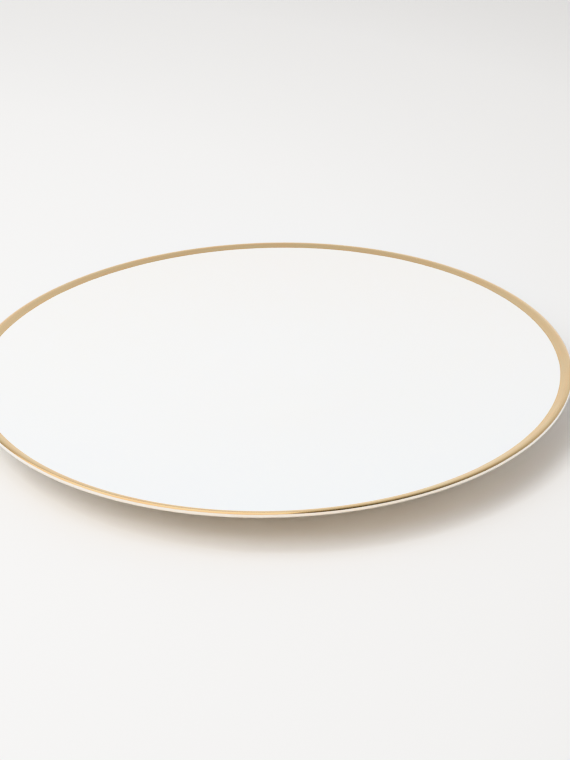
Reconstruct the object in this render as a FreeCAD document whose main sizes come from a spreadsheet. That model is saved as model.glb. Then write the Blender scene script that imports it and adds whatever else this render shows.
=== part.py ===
"""A round china serving platter with a gold band along its rim.

The platter stands on its foot ring, with +Z up and the origin on the table under its centre.
It is a coupe: a flat floor that sweeps up to a thin rounded lip in one arc. Every layer is a
half-section turned about the Z axis, so the biscuit, its glaze coats and the gold lie face to
face, and each section takes its sizes from the sheet.
"""

import FreeCAD
import Part
import Sketcher
import math
import os

# Driving dimensions in millimetres, and one angle in degrees.
SIZES = {
    "outer_radius": 190.0,  # half the width across the rim
    "rim_height": 22.0,  # table to the glazed crest of the lip
    "floor_height": 11.2,  # table to the glazed floor of the well
    "recess_height": 6.2,  # table to the glazed underside within the foot ring
    "flat_radius": 55.0,  # where the flat floor begins to sweep up
    "lip_radius": 1.35,  # the lip's rounding, glaze included
    "glaze_coat": 0.35,  # thickness of a glaze coat
    "gold_coat": 0.2,  # thickness of the gold's stand-in
    "gold_width": 6.05,  # from the band's inner line to the lip's centre
    "gold_wrap": 40.0,  # how far the gold turns over the crest, in degrees
    "foot_inner": 112.5,  # inner wall of the foot ring
    "foot_outer": 117.5,  # outer wall of the foot ring
    "foot_round": 1.0,  # rounding of the foot ring's lower edges
    "foot_bare": 1.6,  # height above the table at which the foot's glaze is wiped off
}

# Expressions that several sections share.
LIP_X = "Sizes.outer_radius - Sizes.lip_radius"
LIP_Z = "Sizes.rim_height - Sizes.lip_radius"
LIP = "Sizes.lip_radius"
LIP_CORE = "Sizes.lip_radius - Sizes.glaze_coat"
LIP_GILT = "Sizes.lip_radius + Sizes.gold_coat"
FLOOR = "Sizes.floor_height"
FLOOR_CORE = "Sizes.floor_height - Sizes.glaze_coat"
FLOOR_GILT = "Sizes.floor_height + Sizes.gold_coat"
RECESS = "Sizes.recess_height"
RECESS_CORE = "Sizes.recess_height + Sizes.glaze_coat"
GOLD_EDGE = LIP_X + " - Sizes.gold_width"

# Ends of a sketch's edges, and its origin and vertical axis, as Sketcher numbers them.
START, END, CENTRE = 1, 2, 3
ORIGIN = -1
AXIS = -2

# The slopes of the face and of the underside where they meet the lip, roughly, in degrees:
# the sketches start from them, and their constraints then settle the true ones.
FACE_SLOPE = 9.0
UNDERSIDE_SLOPE = 11.0

# How far up a sweep, as a share of its climb, its cut ends lie: roughly too, for the same reason.
FOOT_INNER_SHARE = 0.4
FOOT_OUTER_SHARE = 0.5
GOLD_SHARE = 0.95


def make_sheet(doc):
    """The sheet of driving dimensions, one alias to a row."""
    sheet = doc.addObject("Spreadsheet::Sheet", "Sizes")
    for row, (alias, value) in enumerate(SIZES.items(), start=1):
        sheet.set(f"A{row}", alias)
        sheet.set(f"B{row}", str(value))
        sheet.setAlias(f"B{row}", alias)
    doc.recompute()
    return sheet


class Section:
    """A closed half-section on a body's own XZ plane, drawn edge by edge around its outline."""

    def __init__(self, body, sheet):
        self.sheet = sheet
        self.sketch = body.newObject("Sketcher::SketchObject", body.Name + "_section")
        planes = body.Origin.OriginFeatures
        self.sketch.AttachmentSupport = [(next(p for p in planes if p.Role == "XZ_Plane"), "")]
        self.sketch.MapMode = "FlatFace"
        self.edges = []

    def value(self, expression):
        """An expression's present value as a bare number."""
        found = self.sheet.evalExpression(expression)
        return float(getattr(found, "Value", found))

    def point(self, at):
        """The sketch point at a pair of expressions, radius then height."""
        return FreeCAD.Vector(self.value(at[0]), self.value(at[1]), 0)

    def line(self, start, end):
        """An edge between two points, each a pair of expressions."""
        segment = Part.LineSegment(self.point(start), self.point(end))
        edge = self.sketch.addGeometry(segment, False)
        self.edges.append((edge, START, END))
        return edge

    def arc(self, centre, radius, first, last):
        """An edge about a centre, from one angle to another in degrees, either way round."""
        circle = Part.Circle(self.point(centre), FreeCAD.Vector(0, 0, 1), self.value(radius))
        low, high = sorted((math.radians(first), math.radians(last)))
        edge = self.sketch.addGeometry(Part.ArcOfCircle(circle, low, high), False)
        ends = (START, END) if first < last else (END, START)
        self.edges.append((edge, *ends))
        return edge

    def add(self, *constraint):
        """One geometric constraint."""
        return self.sketch.addConstraint(Sketcher.Constraint(*constraint))

    def bind(self, kind, *target, to):
        """One dimension, bound to an expression of the sheet's cells."""
        number = self.value(to)
        if kind == "Angle":
            number = math.radians(number)
        index = self.add(kind, *target, number)
        self.sketch.setExpression(f"Constraints[{index}]", to)

    def bind_point(self, edge, end, at):
        """An edge's end or centre, held at a pair of expressions."""
        self.bind("DistanceX", ORIGIN, START, edge, end, to=at[0])
        self.bind("DistanceY", ORIGIN, START, edge, end, to=at[1])

    def close(self, smooth=()):
        """Joins each edge to the next one round, with one tangent where the joint is smooth."""
        for place, (edge, _, last) in enumerate(self.edges):
            after, first, _ = self.edges[(place + 1) % len(self.edges)]
            kind = "Tangent" if (edge, after) in smooth else "Coincident"
            self.add(kind, edge, last, after, first)

    def rise_from(self, height, sweep):
        """Makes a sweep that starts outside the flat part of the same arc as one that leaves it."""
        start = self.point(("0", height))
        end = self.point(("Sizes.flat_radius", height))
        flat = self.sketch.addGeometry(Part.LineSegment(start, end), True)
        self.add("PointOnObject", flat, START, AXIS)
        self.add("Horizontal", flat)
        self.bind_point(flat, END, ("Sizes.flat_radius", height))
        self.bind("DistanceX", ORIGIN, START, sweep, CENTRE, to="Sizes.flat_radius")
        self.add("Tangent", flat, sweep)

    def aim_at_lip(self, radius, sweep):
        """Makes a sweep that stops short of the lip part of the same arc as one that meets it."""
        centre = self.point((LIP_X, LIP_Z))
        circle = Part.Circle(centre, FreeCAD.Vector(0, 0, 1), self.value(radius))
        guide = self.sketch.addGeometry(circle, True)
        self.bind_point(guide, CENTRE, (LIP_X, LIP_Z))
        self.bind("Radius", guide, to=radius)
        self.add("Tangent", guide, sweep)

    def floor(self, height, inwards=False):
        """A flat edge between the axis and the sweep."""
        ends = [("0", height), ("Sizes.flat_radius", height)]
        if inwards:
            ends.reverse()
        edge = self.line(*ends)
        on_axis, at_sweep = (END, START) if inwards else (START, END)
        self.add("PointOnObject", edge, on_axis, AXIS)
        self.add("Horizontal", edge)
        self.bind_point(edge, at_sweep, ("Sizes.flat_radius", height))
        return edge

    def sweep(self, height, slope, first, last):
        """An arc that climbs from the flat at a height, between two shares of its whole climb."""
        reach = self.value(LIP_X + " - Sizes.flat_radius")
        radius = repr(reach / math.sin(math.radians(slope)))
        centre = ("Sizes.flat_radius", f"{height} + {radius}")
        return self.arc(centre, radius, first * slope - 90, last * slope - 90)

    def lip(self, radius, first, last):
        """An arc of the lip's rounding."""
        edge = self.arc((LIP_X, LIP_Z), radius, first, last)
        self.bind_point(edge, CENTRE, (LIP_X, LIP_Z))
        self.bind("Radius", edge, to=radius)
        return edge

    def end_radius(self, edge, end, radius):
        """An edge's end, held at a distance from the axis."""
        self.bind("DistanceX", ORIGIN, START, edge, end, to=radius)


def make_body(doc, name, sheet, draw):
    """A sub-part: one section, drawn by its own function and turned about the Z axis."""
    body = doc.addObject("PartDesign::Body", name)
    body.Label = name
    section = Section(body, sheet)
    draw(section)
    turn = body.newObject("PartDesign::Revolution", name + "_turn")
    turn.Profile = section.sketch
    turn.ReferenceAxis = (section.sketch, ["V_Axis"])
    turn.Angle = 360
    body.Tip = turn
    return body


def draw_biscuit(section):
    """The fired clay: the whole coupe, under its glaze."""
    under = section.floor(RECESS_CORE)
    belly = section.sweep(RECESS_CORE, UNDERSIDE_SLOPE, 0, 1)
    lip = section.lip(LIP_CORE, UNDERSIDE_SLOPE - 90, FACE_SLOPE + 90)
    face = section.sweep(FLOOR_CORE, FACE_SLOPE, 1, 0)
    top = section.floor(FLOOR_CORE, inwards=True)
    section.line(("0", FLOOR_CORE), ("0", RECESS_CORE))
    section.close(smooth={(under, belly), (belly, lip), (lip, face), (face, top)})


def draw_face_glaze(section):
    """The glaze coat of the face, from the centre over the crest to the edge's widest line."""
    under = section.floor(FLOOR_CORE)
    core = section.sweep(FLOOR_CORE, FACE_SLOPE, 0, 1)
    core_lip = section.lip(LIP_CORE, FACE_SLOPE + 90, 0)
    rim = section.line((f"{LIP_X} + {LIP_CORE}", LIP_Z), ("Sizes.outer_radius", LIP_Z))
    lip = section.lip(LIP, 0, FACE_SLOPE + 90)
    face = section.sweep(FLOOR, FACE_SLOPE, 1, 0)
    top = section.floor(FLOOR, inwards=True)
    section.line(("0", FLOOR), ("0", FLOOR_CORE))
    section.bind("DistanceY", ORIGIN, START, rim, START, to=LIP_Z)
    section.add("Horizontal", rim)
    section.close(smooth={(under, core), (core, core_lip), (lip, face), (face, top)})


def draw_back_glaze(section):
    """The glaze coat of the underside, from the lip in to the foot ring and down its outer wall."""
    wall = "Sizes.foot_outer + Sizes.glaze_coat"
    lip = section.lip(LIP, 0, UNDERSIDE_SLOPE - 90)
    belly = section.sweep(RECESS, UNDERSIDE_SLOPE, 1, FOOT_OUTER_SHARE)
    down = section.line((wall, RECESS), (wall, "Sizes.foot_bare"))
    hem = section.line((wall, "Sizes.foot_bare"), ("Sizes.foot_outer", "Sizes.foot_bare"))
    up = section.line(("Sizes.foot_outer", "Sizes.foot_bare"), ("Sizes.foot_outer", RECESS_CORE))
    core = section.sweep(RECESS_CORE, UNDERSIDE_SLOPE, FOOT_OUTER_SHARE, 1)
    core_lip = section.lip(LIP_CORE, UNDERSIDE_SLOPE - 90, 0)
    rim = section.line((f"{LIP_X} + {LIP_CORE}", LIP_Z), ("Sizes.outer_radius", LIP_Z))
    section.rise_from(RECESS, belly)
    section.rise_from(RECESS_CORE, core)
    section.add("Vertical", down)
    section.add("Horizontal", hem)
    section.add("Vertical", up)
    section.bind_point(hem, END, ("Sizes.foot_outer", "Sizes.foot_bare"))
    section.end_radius(hem, START, wall)
    section.bind("DistanceY", ORIGIN, START, rim, START, to=LIP_Z)
    section.add("Horizontal", rim)
    section.close(smooth={(lip, belly), (core, core_lip)})


def draw_recess_glaze(section):
    """The glaze coat within the foot ring, and down the ring's inner wall."""
    wall = "Sizes.foot_inner - Sizes.glaze_coat"
    under = section.floor(RECESS)
    belly = section.sweep(RECESS, UNDERSIDE_SLOPE, 0, FOOT_INNER_SHARE)
    down = section.line((wall, RECESS), (wall, "Sizes.foot_bare"))
    hem = section.line((wall, "Sizes.foot_bare"), ("Sizes.foot_inner", "Sizes.foot_bare"))
    up = section.line(("Sizes.foot_inner", "Sizes.foot_bare"), ("Sizes.foot_inner", RECESS_CORE))
    core = section.sweep(RECESS_CORE, UNDERSIDE_SLOPE, FOOT_INNER_SHARE, 0)
    top = section.floor(RECESS_CORE, inwards=True)
    section.line(("0", RECESS_CORE), ("0", RECESS))
    section.aim_at_lip(LIP, belly)
    section.aim_at_lip(LIP_CORE, core)
    section.add("Vertical", down)
    section.add("Horizontal", hem)
    section.add("Vertical", up)
    section.bind_point(hem, END, ("Sizes.foot_inner", "Sizes.foot_bare"))
    section.end_radius(hem, START, wall)
    section.close(smooth={(under, belly), (core, top)})


def draw_foot_ring(section):
    """The ring that the platter stands on, with a bare flat face and rounded lower edges."""
    inner, outer, corner = "Sizes.foot_inner", "Sizes.foot_outer", "Sizes.foot_round"
    inner_corner = (f"{inner} + {corner}", corner)
    outer_corner = (f"{outer} - {corner}", corner)
    flat = section.line((inner_corner[0], "0"), (outer_corner[0], "0"))
    outer_edge = section.arc(outer_corner, corner, -90, 0)
    outer_wall = section.line((outer, corner), (outer, RECESS_CORE))
    seat = section.sweep(RECESS_CORE, UNDERSIDE_SLOPE, FOOT_OUTER_SHARE, FOOT_INNER_SHARE)
    inner_wall = section.line((inner, RECESS_CORE), (inner, corner))
    inner_edge = section.arc(inner_corner, corner, 180, 270)
    section.rise_from(RECESS_CORE, seat)
    section.aim_at_lip(LIP_CORE, seat)
    for edge, centre in ((outer_edge, outer_corner), (inner_edge, inner_corner)):
        section.bind_point(edge, CENTRE, centre)
        section.bind("Radius", edge, to=corner)
    section.add("Vertical", outer_wall)
    section.add("Vertical", inner_wall)
    section.close(
        smooth={
            (flat, outer_edge),
            (outer_edge, outer_wall),
            (inner_wall, inner_edge),
            (inner_edge, flat),
        }
    )


def draw_gold_band(section):
    """The gold, from its inner line out along the face and over the crest of the lip."""
    wrap = 90 - section.value("Sizes.gold_wrap")
    glaze = section.sweep(FLOOR, FACE_SLOPE, GOLD_SHARE, 1)
    glaze_lip = section.lip(LIP, FACE_SLOPE + 90, wrap)
    cap = section.line(
        (f"{LIP_X} + {LIP} * cos({wrap})", f"{LIP_Z} + {LIP} * sin({wrap})"),
        (f"{LIP_X} + ({LIP_GILT}) * cos({wrap})", f"{LIP_Z} + ({LIP_GILT}) * sin({wrap})"),
    )
    gilt_lip = section.lip(LIP_GILT, wrap, FACE_SLOPE + 90)
    gilt = section.sweep(FLOOR_GILT, FACE_SLOPE, 1, GOLD_SHARE)
    hem = section.line((GOLD_EDGE, FLOOR_GILT), (GOLD_EDGE, FLOOR))
    section.rise_from(FLOOR, glaze)
    section.rise_from(FLOOR_GILT, gilt)
    section.add("PointOnObject", glaze_lip, CENTRE, cap)
    section.bind("Angle", cap, to="90 - Sizes.gold_wrap")
    section.add("Vertical", hem)
    section.end_radius(hem, START, GOLD_EDGE)
    section.close(smooth={(glaze, glaze_lip), (gilt_lip, gilt)})


SUB_PARTS = {
    "platter_body": draw_biscuit,
    "foot_ring": draw_foot_ring,
    "face_glaze": draw_face_glaze,
    "back_glaze": draw_back_glaze,
    "recess_glaze": draw_recess_glaze,
    "gold_band": draw_gold_band,
}


def check(doc, bodies):
    """Stops at any feature that failed, and at any sub-part that isn't one valid solid."""
    for thing in doc.Objects:
        if {"Invalid", "Error"} & set(thing.State):
            raise RuntimeError(f"{thing.Name} failed: {thing.State}")
        if thing.TypeId == "Sketcher::SketchObject" and thing.solve() != 0:
            raise RuntimeError(f"{thing.Name} has constraints that can't all hold")
    for body in bodies:
        shape = body.Shape
        if shape.isNull() or not shape.isValid() or len(shape.Solids) != 1:
            raise RuntimeError(f"{body.Label} is not one valid solid")


def main():
    doc = FreeCAD.newDocument("serving_platter")
    sheet = make_sheet(doc)
    bodies = [make_body(doc, name, sheet, draw) for name, draw in SUB_PARTS.items()]
    doc.recompute()
    check(doc, bodies)
    os.makedirs("parts", exist_ok=True)
    for body in bodies:
        body.Shape.exportStep(f"parts/{body.Label}.step")


main()
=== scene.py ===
"""Looks of a round china serving platter with a gold band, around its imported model.

Every piece is an outline turned about the Z axis, in metres. The outlines are worked out from
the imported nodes, so the biscuit, the glaze coats and the gold lie on each other as they do there.
A fired rim is never quite round: bend() moves all the layers together, by up to three quarters of a
millimetre at the lip and not at all at the foot.
"""

import math

import bmesh
import bpy
from mathutils import Matrix, Vector, noise


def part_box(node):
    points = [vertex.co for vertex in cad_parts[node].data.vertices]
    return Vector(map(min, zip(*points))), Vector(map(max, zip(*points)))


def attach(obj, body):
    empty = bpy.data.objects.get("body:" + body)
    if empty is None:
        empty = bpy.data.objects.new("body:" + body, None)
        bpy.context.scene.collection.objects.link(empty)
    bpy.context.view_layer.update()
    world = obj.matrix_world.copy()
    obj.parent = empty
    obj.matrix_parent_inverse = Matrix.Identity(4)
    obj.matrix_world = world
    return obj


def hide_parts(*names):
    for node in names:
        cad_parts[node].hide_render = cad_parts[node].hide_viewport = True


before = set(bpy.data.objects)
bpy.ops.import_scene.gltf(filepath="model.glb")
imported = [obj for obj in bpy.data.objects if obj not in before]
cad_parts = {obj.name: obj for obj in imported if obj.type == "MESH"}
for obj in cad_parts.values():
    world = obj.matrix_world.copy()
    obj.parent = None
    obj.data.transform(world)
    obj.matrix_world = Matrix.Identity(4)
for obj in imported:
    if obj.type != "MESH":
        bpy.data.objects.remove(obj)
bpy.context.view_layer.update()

MM = 0.001

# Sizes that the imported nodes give.
FACE_LOW, FACE_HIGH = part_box("face_glaze")
RIM = FACE_HIGH.x
RIM_Z = FACE_HIGH.z
CORE_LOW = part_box("platter_body")[0].z
FOOT_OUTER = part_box("foot_ring")[1].x
FOOT_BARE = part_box("back_glaze")[0].z

# Sizes that they only imply: the glaze's thickness, the flat middle's radius and the foot's wall.
COAT = 0.35 * MM
FLAT = 55 * MM
FOOT_WIDTH = 5 * MM
FLOOR = FACE_LOW.z + COAT
RECESS = CORE_LOW - COAT
FOOT_INNER = FOOT_OUTER - FOOT_WIDTH

# The lip's section: the face rolls level at the crest, and two arcs meet at a shoulder beyond it.
ROLL = 12 * MM
LIP_TOP = 3.1 * MM
LIP_SIDE = 1.15 * MM
SHOULDER = 34
SHARE = math.sin(math.radians(SHOULDER))
CREST = RIM - LIP_TOP * SHARE - LIP_SIDE * (1 - SHARE)
TOP_CENTRE = (CREST, RIM_Z - LIP_TOP)
SIDE_CENTRE = (RIM - LIP_SIDE, TOP_CENTRE[1] + (LIP_TOP - LIP_SIDE) * math.cos(math.radians(SHOULDER)))

# The gold, much thinner here than its CAD solid. It is banded a little off-centre, by waves in the
# form of RIM_WAVES, and ends past the crest about where the lip tilts by GOLD_TILT degrees.
GOLD_WIDTH = 7.4 * MM
BAND_WAVES = ((1, 2.4 * MM, 85), (2, 0.7 * MM, -15))
GOLD_COAT = 0.03 * MM
GOLD_TILT = 38
GOLD_TAPER = 0.08 * MM
GOLD_STRAY = 0.12 * MM

# How the rim strays from a true circle: waves round it, their height, and the angle of a crest.
RIM_WAVES = ((3, 0.4 * MM, -50), (4, 0.3 * MM, -5))
RIPPLE = 0.05 * MM
RIPPLE_SPACING = 45 * MM

SEGMENTS = 420


def smooth_step(value, low, high):
    """0 below low, 1 above high and an easy curve between."""
    share = min(1.0, max(0.0, (value - low) / (high - low)))
    return share * share * (3 - 2 * share)


def waves(pattern, angle):
    """The sum of some waves round the rim at an angle."""
    return sum(size * math.cos(count * (angle - math.radians(crest))) for count, size, crest in pattern)


def bend(radius, angle, height):
    """The place of a turned point once the unevenness has moved it."""
    out = radius + smooth_step(radius, FOOT_OUTER, RIM) * waves(RIM_WAVES, angle)
    x, y = out * math.cos(angle), out * math.sin(angle)
    swell = noise.noise(Vector((x, y, 0)) / RIPPLE_SPACING) * RIPPLE
    return Vector((x, y, height + swell * smooth_step(height, FOOT_BARE, RECESS)))


def turned_rows(mesh, outline, poles):
    """The outline's vertices at each step round the axis. poles are the shared ones on the axis."""
    rows = []
    for step in range(SEGMENTS):
        angle = 2 * math.pi * step / SEGMENTS
        numbered = enumerate(outline(angle))
        rows.append([poles.get(i) or mesh.verts.new(bend(r, angle, z)) for i, (r, z) in numbered])
    return rows


def turned_mesh(outline):
    """The mesh of an outline turned about Z. One that starts on the axis ends there, and one that
    doesn't is a loop."""
    mesh = bmesh.new()
    first = outline(0.0)
    count = len(first)
    open_ended = first[0][0] == 0
    ends = (0, count - 1) if open_ended else ()
    poles = {i: mesh.verts.new((0, 0, first[i][1])) for i in ends}
    rows = turned_rows(mesh, outline, poles)
    for step, row in enumerate(rows):
        after = rows[(step + 1) % SEGMENTS]
        for i in range(count - 1 if open_ended else count):
            j = (i + 1) % count
            mesh.faces.new(list(dict.fromkeys((row[i], after[i], after[j], row[j]))))
    bmesh.ops.recalc_face_normals(mesh, faces=mesh.faces)
    return mesh


def turned(name, outline, material, node):
    """A piece turned about Z, in place of a CAD node. outline(angle) lists its (radius, height) points."""
    mesh = turned_mesh(outline)
    data = bpy.data.meshes.new(name)
    mesh.to_mesh(data)
    mesh.free()
    data.polygons.foreach_set("use_smooth", [True] * len(data.polygons))
    data.materials.append(material)
    piece = bpy.data.objects.new(name, data)
    bpy.context.scene.collection.objects.link(piece)
    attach(piece, "root")
    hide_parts(node)


def on_circle(centre, radius, degrees):
    """The point of a circle at an angle above the level."""
    turn = math.radians(degrees)
    return (centre[0] + radius * math.cos(turn), centre[1] + radius * math.sin(turn))


def arc(centre, radius, first, last, count):
    """Points of an arc between two angles in degrees."""
    return [on_circle(centre, radius, first + (last - first) * i / count) for i in range(count + 1)]


class Sweep:
    """The flat at a level, the arc that climbs from it, and the circle that the arc runs into.

    roll is that circle's radius, negative for an arc that passes under it.
    """

    def __init__(self, level, centre, roll):
        reach = centre[0] - FLAT
        climb = centre[1] - level
        self.level = level
        self.centre = centre
        self.roll = roll
        self.radius = (reach**2 + climb**2 - roll**2) / (2 * (climb + roll))
        self.slope = math.degrees(math.asin(reach / (self.radius + roll)))
        self.end = FLAT + self.radius * math.sin(math.radians(self.slope))

    def height(self, radius):
        """The surface's height at a distance from the axis."""
        if radius > self.end:
            rise = math.sqrt(self.roll**2 - (radius - self.centre[0]) ** 2)
            return self.centre[1] + math.copysign(rise, self.roll)
        return self.level + self.radius - math.sqrt(self.radius**2 - max(0.0, radius - FLAT) ** 2)

    def points(self, start, end, count):
        """Points along it between two distances from the axis."""
        steps = (start + (end - start) * i / count for i in range(count + 1))
        return [(radius, self.height(radius)) for radius in steps]


def rounded(before, corner, after, radius, count=6):
    """The arc that takes the place of a corner."""
    corner = Vector(corner)
    back = (Vector(before) - corner).normalized()
    on = (Vector(after) - corner).normalized()
    half = back.angle(on) / 2
    centre = corner + (back + on).normalized() * (radius / math.sin(half))
    start = corner + back * (radius / math.tan(half)) - centre
    end = corner + on * (radius / math.tan(half)) - centre
    sweep = start.angle_signed(end)
    return [tuple(centre + Matrix.Rotation(-sweep * i / count, 2) @ start) for i in range(count + 1)]


def face_sweep(coat):
    """The face, or a coat off it, as far as the crest."""
    return Sweep(FLOOR + coat, (CREST, RIM_Z - ROLL), ROLL + coat)


def lip_line(coat, first, last, count=18):
    """The lip, or a coat off it, between two tilts in degrees: 0 at the crest and 90 at its widest."""
    points = []
    for i in range(count + 1):
        tilt = first + (last - first) * i / count
        centre, radius = (TOP_CENTRE, LIP_TOP) if tilt < SHOULDER else (SIDE_CENTRE, LIP_SIDE)
        points.append(on_circle(centre, radius + coat, 90 - tilt))
    return points


face = face_sweep(0)
face_core = face_sweep(-COAT)
gilt = face_sweep(GOLD_COAT)
under = Sweep(RECESS, SIDE_CENTRE, -LIP_SIDE)
under_core = Sweep(RECESS + COAT, SIDE_CENTRE, COAT - LIP_SIDE)
UNDER_TILT = 180 - under.slope


def biscuit_outline(angle):
    """The fired clay under the glaze."""
    bottom = under_core.points(0, under_core.end, 60)
    lip = lip_line(-COAT, 0, UNDER_TILT)[::-1]
    top = face_core.points(CREST, 0, 80)
    return bottom + lip[1:-1] + top


def face_outline(angle):
    """The face's coat, from the axis out over the crest to the edge's widest line and back."""
    top = face.points(0, FLAT, 12) + face.points(FLAT, face.end, 70)[1:] + face.points(face.end, CREST, 8)[1:]
    lip = lip_line(0, 0, 90)[1:]
    core_lip = lip_line(-COAT, 0, 90)[::-1]
    bottom = face_core.points(CREST, 0, 70)[1:]
    return top + lip + core_lip + bottom


FOOT_POOL = 2.5 * MM
RECESS_POOL = 2 * MM
FOOT_ROUNDING = 1 * MM


def back_outline(angle):
    """The underside's coat, pooled where it turns down the foot, with a rounded hem."""
    wall = FOOT_OUTER + COAT
    corner = (wall, under.height(wall))
    lip = lip_line(0, 90, UNDER_TILT)
    belly = under.points(under.end, wall + 1.2 * FOOT_POOL, 50)[1:]
    curve = rounded(belly[-1], corner, (wall, FOOT_BARE), FOOT_POOL, 8)
    hem = arc((FOOT_OUTER, FOOT_BARE + COAT), COAT, 0, -90, 6)
    inside = (FOOT_OUTER, under_core.height(FOOT_OUTER))
    core = under_core.points(FOOT_OUTER, under_core.end, 50)[1:]
    core_lip = lip_line(-COAT, 90, UNDER_TILT)[::-1]
    return lip + belly + curve + hem + [inside] + core + core_lip[1:]


def recess_outline(angle):
    """The coat within the foot ring, and down its inner wall."""
    wall = FOOT_INNER - COAT
    corner = (wall, under.height(wall))
    belly = under.points(0, wall - 1.2 * RECESS_POOL, 40)
    curve = rounded(belly[-1], corner, (wall, FOOT_BARE), RECESS_POOL, 8)
    hem = arc((FOOT_INNER, FOOT_BARE + COAT), COAT, 180, 270, 6)
    core = under_core.points(FOOT_INNER, 0, 40)
    return belly + curve + hem + core


def foot_outline(angle):
    """The foot ring, rounded where it meets the table."""
    seat = under_core.points(FOOT_OUTER, FOOT_INNER, 4)
    inner = arc((FOOT_INNER + FOOT_ROUNDING, FOOT_ROUNDING), FOOT_ROUNDING, 180, 270, 7)
    outer = arc((FOOT_OUTER - FOOT_ROUNDING, FOOT_ROUNDING), FOOT_ROUNDING, -90, 0, 7)
    return seat + inner + outer


def gold_outline(angle):
    """The gold, from its hand-banded inner line over the crest."""
    stray = noise.noise(Vector((math.cos(angle), math.sin(angle), 0)) * 9)
    start = RIM - GOLD_WIDTH - waves(BAND_WAVES, angle) + stray * GOLD_STRAY
    tilt = GOLD_TILT + 4 * noise.noise(Vector((math.cos(angle), math.sin(angle), 1)) * 7)
    over = gilt.points(start + GOLD_TAPER, CREST, 24) + lip_line(GOLD_COAT, 0, tilt - 3, 10)[1:]
    back = lip_line(0, 0, tilt, 10)[::-1] + face.points(CREST, start, 24)[1:]
    return over + back


# Materials.


class Nodes:
    """A material's node tree, made a node at a time."""

    def __init__(self, name):
        self.material = bpy.data.materials.new(name)
        self.material.use_nodes = True
        self.tree = self.material.node_tree
        self.shader = self.tree.nodes["Principled BSDF"]
        self.coords = self.tree.nodes.new("ShaderNodeTexCoord").outputs["Object"]

    def add(self, kind, links=None, **settings):
        """A node with its settings, its inputs linked or set by name or number."""
        node = self.tree.nodes.new(kind)
        for key, value in settings.items():
            setattr(node, key, value)
        for key, value in (links or {}).items():
            if isinstance(value, bpy.types.NodeSocket):
                self.tree.links.new(value, node.inputs[key])
            else:
                node.inputs[key].default_value = value
        return node

    def shade(self, **sockets):
        """Sets or links the shader's sockets; a name's underscores stand for spaces."""
        for key, value in sockets.items():
            socket = self.shader.inputs[key.replace("_", " ")]
            if isinstance(value, bpy.types.NodeSocket):
                self.tree.links.new(value, socket)
            else:
                socket.default_value = value

    def noise(self, spacing, vector=None, detail=2.0, roughness=0.5):
        """Noise with patches about as large as the spacing, in metres."""
        links = {"Vector": vector or self.coords, "Scale": 1 / spacing}
        links |= {"Detail": detail, "Roughness": roughness}
        return self.add("ShaderNodeTexNoise", links).outputs["Fac"]

    def spread(self, value, low, high, start=0.3, end=0.7):
        """A value's middle range, spread over another."""
        links = {"Value": value, "From Min": start, "From Max": end, "To Min": low, "To Max": high}
        return self.add("ShaderNodeMapRange", links).outputs["Result"]

    def blend(self, factor, first, second):
        """One colour or another, by a factor."""
        node = self.add("ShaderNodeMix", data_type="RGBA")
        self.tree.links.new(factor, node.inputs["Factor"])
        for key, value in (("A", first), ("B", second)):
            socket = next(s for s in node.inputs if s.name == key and s.type == "RGBA")
            if isinstance(value, bpy.types.NodeSocket):
                self.tree.links.new(value, socket)
            else:
                socket.default_value = (*value, 1)
        return next(s for s in node.outputs if s.type == "RGBA")

    def bump(self, height, depth, strength=1.0, normal=None):
        """A bump of a depth in metres, over another if one is given."""
        links = {"Height": height, "Distance": depth, "Strength": strength}
        if normal:
            links["Normal"] = normal
        return self.add("ShaderNodeBump", links).outputs["Normal"]

    def math(self, operation, *values):
        """A math node's result."""
        return self.add("ShaderNodeMath", dict(enumerate(values)), operation=operation).outputs[0]

    def round_the_axis(self, around, across):
        """Coordinates that stretch a noise into streaks round the Z axis, a length by a width."""
        split = self.add("ShaderNodeSeparateXYZ", {0: self.coords}).outputs
        squares = [self.math("MULTIPLY", split[k], split[k]) for k in (0, 1)]
        radius = self.math("SQRT", self.math("ADD", *squares))
        turn = RIM / around
        links = {k: self.math("MULTIPLY", self.math("DIVIDE", split[k], radius), turn) for k in (0, 1)}
        drop = self.math("SUBTRACT", radius, split[2])
        links[2] = self.math("MULTIPLY", drop, 1 / across)
        return self.add("ShaderNodeCombineXYZ", links).outputs[0]


def make_glaze(name, thin, thick):
    """Clear gloss over white clay: a little warmer where the coat is thick, and not quite flat."""
    nodes = Nodes(name)
    cloud = nodes.spread(nodes.noise(70 * MM, detail=3), 0, 1)
    dimples = nodes.noise(5 * MM, detail=1)
    pores = nodes.spread(nodes.noise(0.9 * MM, detail=0), 0, 1, 0.72, 0.8)
    skin = nodes.bump(dimples, 0.02 * MM)
    skin = nodes.bump(pores, -0.02 * MM, 0.5, skin)
    nodes.shade(
        Base_Color=nodes.blend(cloud, thin, thick),
        Roughness=nodes.spread(nodes.noise(25 * MM, detail=4), 0.05, 0.1),
        Normal=skin,
        IOR=1.52,
        Subsurface_Weight=0.12,
        Subsurface_Radius=(1.0, 0.85, 0.7),
        Subsurface_Scale=1.2 * MM,
    )
    return nodes.material


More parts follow.
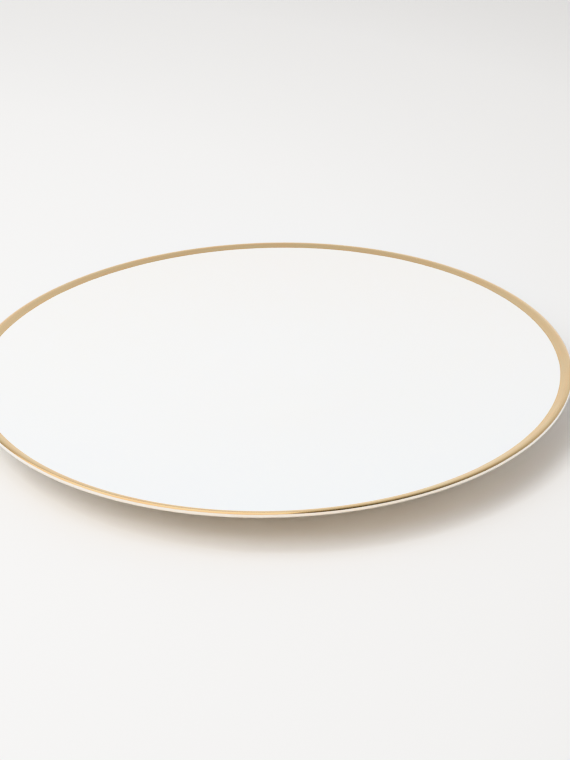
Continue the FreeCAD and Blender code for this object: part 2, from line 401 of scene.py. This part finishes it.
def make_gold():
    """Fired gold burnished to a satin: fine streaks round the rim, paler and redder by turns."""
    nodes = Nodes("satin_gold")
    streaks = nodes.noise(1.0, nodes.round_the_axis(30 * MM, 0.35 * MM), 3, 0.6)
    lay = nodes.noise(1.0, nodes.round_the_axis(22 * MM, 3 * MM), 2)
    warmth = nodes.blend(nodes.spread(lay, 0, 1), (0.45, 0.32, 0.17), (0.48, 0.30, 0.145))
    tone = nodes.blend(nodes.spread(streaks, 0.0, 0.5), warmth, (0.39, 0.28, 0.155))
    grain = nodes.noise(0.25 * MM, detail=2)
    skin = nodes.bump(streaks, 0.012 * MM)
    skin = nodes.bump(grain, 0.004 * MM, 0.6, skin)
    nodes.shade(
        Base_Color=tone,
        Metallic=1.0,
        Roughness=nodes.spread(nodes.math("ADD", streaks, lay), 0.12, 0.22, 0.8, 1.2),
        Normal=skin,
    )
    return nodes.material


def make_biscuit(name, pale, dark):
    """Fired clay with no glaze: matt, with a fine sandy grain."""
    nodes = Nodes(name)
    grain = nodes.noise(0.4 * MM, detail=4, roughness=0.7)
    stain = nodes.spread(nodes.noise(9 * MM, detail=3), 0, 1)
    specks = nodes.spread(nodes.noise(0.7 * MM, detail=0), 0, 0.6, 0.68, 0.78)
    clay = nodes.blend(stain, pale, dark)
    nodes.shade(
        Base_Color=nodes.blend(specks, clay, (0.45, 0.40, 0.33)),
        Roughness=nodes.spread(grain, 0.75, 0.95),
        Normal=nodes.bump(grain, 0.05 * MM),
    )
    return nodes.material


# Painted light: the paper glows a little where it is further off than the set's lights reach.
FAR_PAINTED_LIGHT = 0.34
PAINTED_LIGHT_START = 0.96
PAINTED_LIGHT_FULL = 1.7


def make_floor_paint():
    """Seamless studio paper, with painted light: it glows faintly far from the platter."""
    nodes = Nodes("studio_paper_painted_light")
    tooth = nodes.noise(0.8 * MM, detail=3)
    away = nodes.add("ShaderNodeVectorMath", {0: nodes.coords}, operation="LENGTH").outputs["Value"]
    links = {"Value": away, "From Min": PAINTED_LIGHT_START, "From Max": PAINTED_LIGHT_FULL, "To Max": FAR_PAINTED_LIGHT}
    # Painted light: the paper's emission rises with distance from the platter.
    glow = nodes.add("ShaderNodeMapRange", links, interpolation_type="SMOOTHSTEP").outputs["Result"]
    nodes.shade(
        Emission_Color=(1, 1, 1, 1),
        Emission_Strength=glow,
        Base_Color=(0.86, 0.86, 0.86, 1),
        Roughness=0.95,
        Specular_IOR_Level=0.1,
        Normal=nodes.bump(tooth, 0.02 * MM),
    )
    return nodes.material


# The studio.

FLOOR_REACH = 12


def make_floor():
    """A round pale floor under the platter."""
    mesh = bmesh.new()
    bmesh.ops.create_circle(mesh, cap_ends=True, segments=64, radius=FLOOR_REACH)
    data = bpy.data.meshes.new("floor")
    mesh.to_mesh(data)
    mesh.free()
    data.materials.append(make_floor_paint())
    floor = bpy.data.objects.new("floor", data)
    bpy.context.scene.collection.objects.link(floor)


# Two level softboxes overhead: each one's place, its size and its power.
SOFTBOXES = {
    "key": ((-0.36, 0.17, 0.7), (0.78, 0.46), 3.5),
    "side": ((-0.69, -0.2, 0.7), (1.46, 1.2), 10.8),
}


def make_softbox(name, place, size, power):
    """A rectangular white light facing straight down."""
    light = bpy.data.lights.new(name, "AREA")
    light.shape = "RECTANGLE"
    light.size, light.size_y = size
    light.energy = power
    lamp = bpy.data.objects.new(name, light)
    lamp.location = place
    lamp.rotation_euler = Vector((0, 0, -1)).to_track_quat("-Z", "Y").to_euler()
    lamp.visible_camera = False
    bpy.context.scene.collection.objects.link(lamp)


DAYLIGHT = (0.87, 0.935, 1)
LAMPLIGHT = (1, 0.73, 0.45)
BACKDROP = (0.8, 0.8, 0.8, 1)

# What shines in from the room: a direction, how tightly the light gathers there, its strength and
# colour. Daylight comes from beyond the table and from both sides, and lamplight from the front.
GLOWS = (
    ((0, 1, 0), 1, 1.74, DAYLIGHT),
    ((0, 1, 0), 4, 0.43, DAYLIGHT),
    ((1, 0, 0.14), 6, 1.9, DAYLIGHT),
    ((-1, 0, 0.14), 6, 0.9, DAYLIGHT),
    ((0, -1, 0.14), 6, 3.2, LAMPLIGHT),
)


def glow_shader(tree, towards, direction, gather, strength, colour):
    """Light from one direction of the room, falling off as a power of the cosine."""

    def math_node(operation, value, number):
        node = tree.nodes.new("ShaderNodeMath")
        node.operation = operation
        tree.links.new(value, node.inputs[0])
        node.inputs[1].default_value = number
        return node.outputs[0]

    facing = tree.nodes.new("ShaderNodeVectorMath")
    facing.operation = "DOT_PRODUCT"
    tree.links.new(towards, facing.inputs[0])
    facing.inputs[1].default_value = Vector(direction).normalized()
    front = math_node("MAXIMUM", facing.outputs["Value"], 0)
    spread = math_node("POWER", front, gather)
    glow = tree.nodes.new("ShaderNodeBackground")
    glow.inputs["Color"].default_value = (*colour, 1)
    tree.links.new(math_node("MULTIPLY", spread, strength), glow.inputs["Strength"])
    return glow.outputs[0]


def added(tree, first, second):
    """Two shaders' light together."""
    both = tree.nodes.new("ShaderNodeAddShader")
    tree.links.new(first, both.inputs[0])
    tree.links.new(second, both.inputs[1])
    return both.outputs[0]


def make_room():
    """The room that lights the platter by GLOWS, and that the camera sees as a plain pale backdrop."""
    world = bpy.data.worlds.new("room")
    world.use_nodes = True
    bpy.context.scene.world = world
    tree = world.node_tree
    towards = tree.nodes.new("ShaderNodeTexCoord").outputs["Generated"]
    total = glow_shader(tree, towards, *GLOWS[0])
    for glow in GLOWS[1:]:
        total = added(tree, total, glow_shader(tree, towards, *glow))
    backdrop = tree.nodes.new("ShaderNodeBackground")
    backdrop.inputs["Color"].default_value = BACKDROP
    seen = tree.nodes.new("ShaderNodeLightPath").outputs["Is Camera Ray"]
    either = tree.nodes.new("ShaderNodeMixShader")
    tree.links.new(seen, either.inputs[0])
    tree.links.new(total, either.inputs[1])
    tree.links.new(backdrop.outputs[0], either.inputs[2])
    tree.links.new(either.outputs[0], tree.nodes["World Output"].inputs["Surface"])


CAMERA_PLACE = Vector((0, -1.341, 0.6722 + RIM_Z))
CAMERA_AIM = Vector((0.0087, -0.0245, RIM_Z))
CAMERA_ROLL = math.radians(-1.07)


def make_camera():
    """A long lens from the front, 27 degrees above the table."""
    data = bpy.data.cameras.new("camera")
    data.lens = 112.28
    data.sensor_width = 36
    camera = bpy.data.objects.new("camera", data)
    camera.location = CAMERA_PLACE
    level = (CAMERA_AIM - CAMERA_PLACE).to_track_quat("-Z", "Y")
    camera.rotation_mode = "QUATERNION"
    camera.rotation_quaternion = level @ Matrix.Rotation(CAMERA_ROLL, 3, "Z").to_quaternion()
    bpy.context.scene.collection.objects.link(camera)
    bpy.context.scene.camera = camera


make_camera()
white = make_glaze("face_glaze", (0.90, 0.895, 0.885), (0.885, 0.88, 0.865))
# Painted shade: the underside's glaze is the face's glaze, coloured darker and warmer than it.
shaded_ivory = make_glaze("back_glaze", (0.77, 0.755, 0.72), (0.75, 0.73, 0.69))
clay = make_biscuit("bare_foot", (0.80, 0.77, 0.71), (0.74, 0.70, 0.63))
body_clay = make_biscuit("biscuit", (0.84, 0.82, 0.78), (0.8, 0.78, 0.74))
turned("biscuit", biscuit_outline, body_clay, "platter_body")
turned("foot", foot_outline, clay, "foot_ring")
turned("glaze_face", face_outline, white, "face_glaze")
turned("glaze_back", back_outline, shaded_ivory, "back_glaze")
turned("glaze_recess", recess_outline, shaded_ivory, "recess_glaze")
turned("gold", gold_outline, make_gold(), "gold_band")

make_floor()
for softbox, (place, size, power) in SOFTBOXES.items():
    make_softbox(softbox, place, size, power)
make_room()
bpy.context.scene.view_settings.view_transform = "Khronos PBR Neutral"
